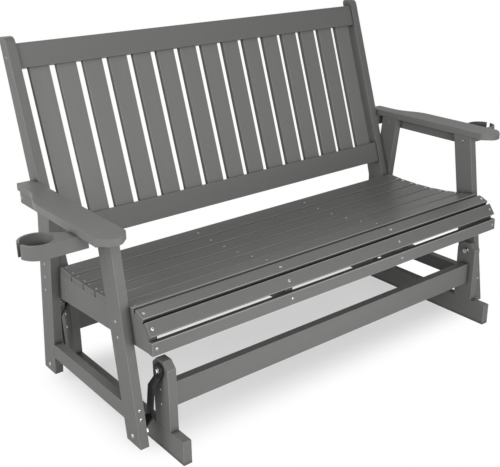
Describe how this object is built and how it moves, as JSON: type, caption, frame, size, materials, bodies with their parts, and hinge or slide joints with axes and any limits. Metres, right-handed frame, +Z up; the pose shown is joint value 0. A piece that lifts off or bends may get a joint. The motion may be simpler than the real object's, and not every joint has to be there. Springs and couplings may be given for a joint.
{
  "type": "glider bench",
  "caption": "Slatted plastic-lumber glider bench whose seat, back, armrests and cup holders hang on steel hangers inside a low runner base.",
  "frame": {"origin": "on the floor, under the middle of the bench's bounding box", "axes": "+X along the bench to the right as seen from the front, +Y to the back, +Z up"},
  "size_m": [1.8894, 0.8114, 1.0713],
  "materials": {
    "grey_lumber": "matt, faintly grained",
    "black_steel": "satin powder coat",
    "steel_hardware": "bright",
    "bush_nylon": "matt"
  },
  "bodies": {
    "base": {"base_screws": "steel_hardware", "front_base_crossbar": "grey_lumber", "left_front_base_post": "grey_lumber", "left_rear_base_post": "grey_lumber", "left_runner": "grey_lumber", "rear_base_crossbar": "grey_lumber", "right_front_base_post": "grey_lumber", "right_rear_base_post": "grey_lumber", "right_runner": "grey_lumber", "upper_pivot_bolts": "steel_hardware", "upper_pivot_nuts": "steel_hardware", "upper_pivot_washers": "steel_hardware"},
    "front_hangers": {"front_hanger_bushes": "bush_nylon", "left_front_hanger": "black_steel", "right_front_hanger": "black_steel"},
    "rear_hangers": {"left_rear_hanger": "black_steel", "rear_hanger_bushes": "bush_nylon", "right_rear_hanger": "black_steel"},
    "seat": {"arm_screws": "steel_hardware", "back_slats_left": "grey_lumber", "back_slats_middle": "grey_lumber", "back_slats_right": "grey_lumber", "frame_screws": "steel_hardware", "left_apron": "grey_lumber", "left_arm_block": "grey_lumber", "left_armrest": "grey_lumber", "left_back_post": "grey_lumber", "left_cup_holder": "grey_lumber", "left_front_leg": "grey_lumber", "left_inner_seat_support": "grey_lumber", "left_rear_leg": "grey_lumber", "left_seat_rail": "grey_lumber", "left_stretcher": "grey_lumber", "lower_back_rail": "grey_lumber", "lower_pivot_bolts": "steel_hardware", "lower_pivot_nuts": "steel_hardware", "lower_pivot_washers": "steel_hardware", "rear_seat_crossbar": "grey_lumber", "right_apron": "grey_lumber", "right_arm_block": "grey_lumber", "right_armrest": "grey_lumber", "right_back_post": "grey_lumber", "right_cup_holder": "grey_lumber", "right_front_leg": "grey_lumber", "right_inner_seat_support": "grey_lumber", "right_rear_leg": "grey_lumber", "right_seat_rail": "grey_lumber", "right_stretcher": "grey_lumber", "seat_slat_1": "grey_lumber", "seat_slat_2": "grey_lumber", "seat_slat_3": "grey_lumber", "seat_slat_4": "grey_lumber", "seat_slat_5": "grey_lumber", "seat_slat_6": "grey_lumber", "seat_slat_7": "grey_lumber", "seat_slat_8": "grey_lumber", "seat_slat_9": "grey_lumber", "seat_slat_screws": "steel_hardware", "top_back_rail": "grey_lumber"}
  },
  "joints": [
    {"name": "front_hanger_swing", "type": "hinge", "parent": "base", "child": "front_hangers", "pos_m": [0, -0.30825, 0.26], "axis": [1, 0, 0], "range_deg": [-15, 15]},
    {"name": "rear_hanger_swing", "type": "hinge", "parent": "base", "child": "rear_hangers", "pos_m": [0, 0.25375, 0.26], "axis": [1, 0, 0], "range_deg": [-15, 15]},
    {"name": "seat_hang", "type": "hinge", "parent": "front_hangers", "child": "seat", "pos_m": [0, -0.27475, 0.06283], "axis": [1, 0, 0], "range_deg": [-17, 17]}
  ],
  "couplings": [
    {"joint": "rear_hanger_swing", "follows": "front_hanger_swing", "ratio": 0.98911},
    {"joint": "seat_hang", "follows": "front_hanger_swing", "ratio": -1.1016}
  ]
}
